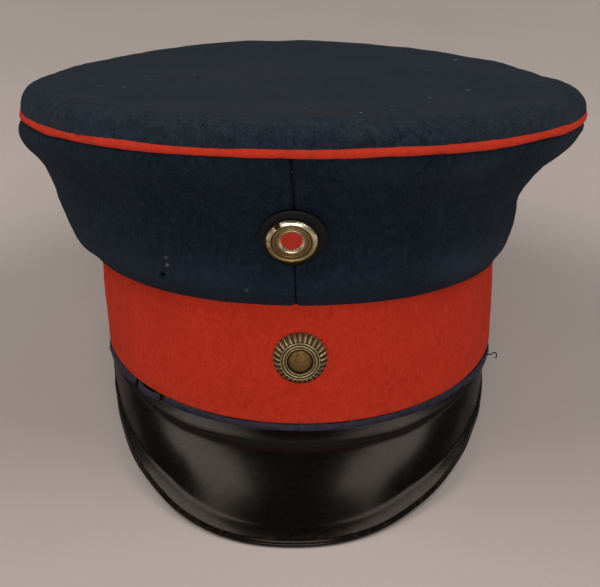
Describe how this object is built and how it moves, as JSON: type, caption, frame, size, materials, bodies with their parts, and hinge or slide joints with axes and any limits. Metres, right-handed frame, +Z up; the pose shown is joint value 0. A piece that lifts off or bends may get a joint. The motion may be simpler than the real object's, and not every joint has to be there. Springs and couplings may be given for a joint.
{
  "type": "military peaked cap",
  "caption": "Peaked uniform cap: wide dark-blue cloth crown piped in red, red cloth band, glossy black leather visor and round metal cockades pinned to the front.",
  "frame": {"origin": "centre of the bounding box, on the table the empty cap stands on", "axes": "+Z up from the table, -Y to the front where the visor is, +X to the wearer's left; the cap stands nose up by 8.17 degrees on its visor tip and the back of its band"},
  "size_m": [0.2354, 0.28, 0.1519],
  "materials": {
    "crown_cloth": "matt felted wool",
    "red_cloth": "matt felted wool",
    "buckram": "stiffened open weave",
    "sweat_leather": "smooth, worn",
    "spring_steel": "dull",
    "wadding": "loose fibre",
    "lining_cloth": "twill, satin",
    "patent_leather": "high gloss lacquer",
    "visor_cloth": "matt",
    "welt_leather": "matt, worn",
    "black_lacquer": "satin lacquer",
    "pale_gilt": "worn, pale gilt",
    "red_lacquer": "satin lacquer",
    "bronzed_brass": "aged, dark",
    "bronzed_dome": "aged, dark",
    "pin_brass": "dull"
  },
  "bodies": {
    "cap": {"crown_top": "crown_cloth", "side_panel_front_left": "crown_cloth", "side_panel_front_right": "crown_cloth", "side_panel_rear_left": "crown_cloth", "side_panel_rear_right": "crown_cloth", "crown_piping": "red_cloth", "band_cloth": "red_cloth", "band_stiffener": "buckram", "sweatband": "sweat_leather", "crown_hoop": "spring_steel", "front_stay": "spring_steel", "rim_padding": "wadding", "side_lining": "lining_cloth", "crown_lining": "lining_cloth", "visor_shell": "patent_leather", "visor_lining": "visor_cloth", "visor_welt": "welt_leather", "upper_cockade_washer": "pin_brass", "lower_cockade_washer": "pin_brass"},
    "upper_cockade": {"upper_cockade_backing": "black_lacquer", "upper_cockade_ring": "pale_gilt", "upper_cockade_centre": "red_lacquer", "upper_cockade_pin": "pin_brass"},
    "lower_cockade": {"lower_cockade_ring": "bronzed_brass", "lower_cockade_centre": "bronzed_dome", "lower_cockade_pin": "pin_brass"}
  },
  "joints": [
    {"name": "upper_cockade_turn", "type": "hinge", "parent": "cap", "child": "upper_cockade", "pos_m": [-0.003, -0.09978, 0.10677], "axis": [0, -0.9788, -0.205], "continuous": true},
    {"name": "lower_cockade_turn", "type": "hinge", "parent": "cap", "child": "lower_cockade", "pos_m": [0.0004, -0.09634, 0.05546], "axis": [0, -0.9899, 0.1421], "continuous": true}
  ]
}
